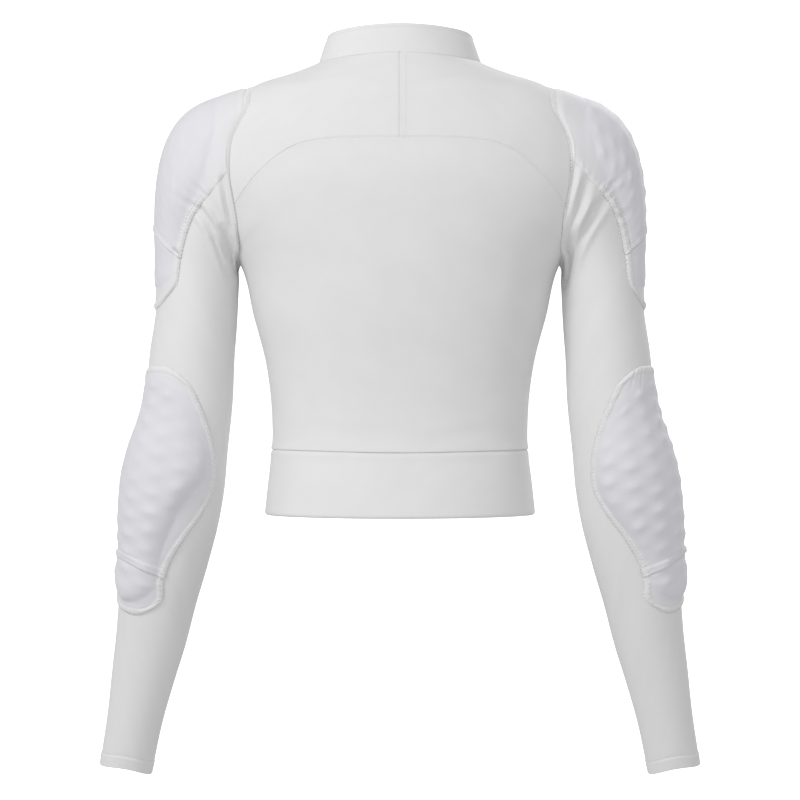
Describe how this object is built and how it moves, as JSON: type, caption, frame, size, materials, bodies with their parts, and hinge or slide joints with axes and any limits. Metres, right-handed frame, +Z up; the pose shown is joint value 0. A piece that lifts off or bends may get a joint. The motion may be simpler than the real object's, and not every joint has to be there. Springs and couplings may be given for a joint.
{
  "type": "motorcycle armor jacket",
  "caption": "Cropped long-sleeve stretch motorcycle armor jacket in worn, hollow form, with stand-up collar, front zip, wide waistband and armored shoulder and elbow pockets.",
  "frame": {"origin": "between the shoulders, at the height where the collar meets the shoulder line", "axes": "+Z up along the wearer's body, -Y towards the wearer's front, +X towards the wearer's left"},
  "size_m": [0.5534, 0.2139, 0.6851],
  "materials": {
    "shell_cloth": "matte knitted stretch cloth",
    "pocket_cloth": "smooth stretch mesh with a faint lavender tint",
    "armor_foam": "soft moulded foam, matte",
    "zip_chain": "moulded teeth on woven tape",
    "zip_metal": "satin"
  },
  "bodies": {
    "jacket": {"back_panel": "shell_cloth", "back_yoke_left": "shell_cloth", "back_yoke_right": "shell_cloth", "front_left": "shell_cloth", "front_right": "shell_cloth", "waistband": "shell_cloth", "collar": "shell_cloth", "sleeve_left": "shell_cloth", "sleeve_right": "shell_cloth", "shoulder_pocket_upper_left": "pocket_cloth", "shoulder_pocket_lower_left": "pocket_cloth", "shoulder_armor_left": "armor_foam", "elbow_pocket_upper_left": "pocket_cloth", "elbow_pocket_lower_left": "pocket_cloth", "elbow_armor_left": "armor_foam", "shoulder_pocket_upper_right": "pocket_cloth", "shoulder_pocket_lower_right": "pocket_cloth", "shoulder_armor_right": "armor_foam", "elbow_pocket_upper_right": "pocket_cloth", "elbow_pocket_lower_right": "pocket_cloth", "elbow_armor_right": "armor_foam", "zip_chain": "zip_chain", "zip_slider": "zip_metal"},
    "pull_tab": {"zip_pull_tab": "zip_metal"}
  },
  "joints": [
    {"name": "pull_tab_hinge", "type": "hinge", "parent": "jacket", "child": "pull_tab", "pos_m": [0, -0.05719, -0.01335], "axis": [-1, 0, 0], "range_deg": [0, 150]}
  ]
}
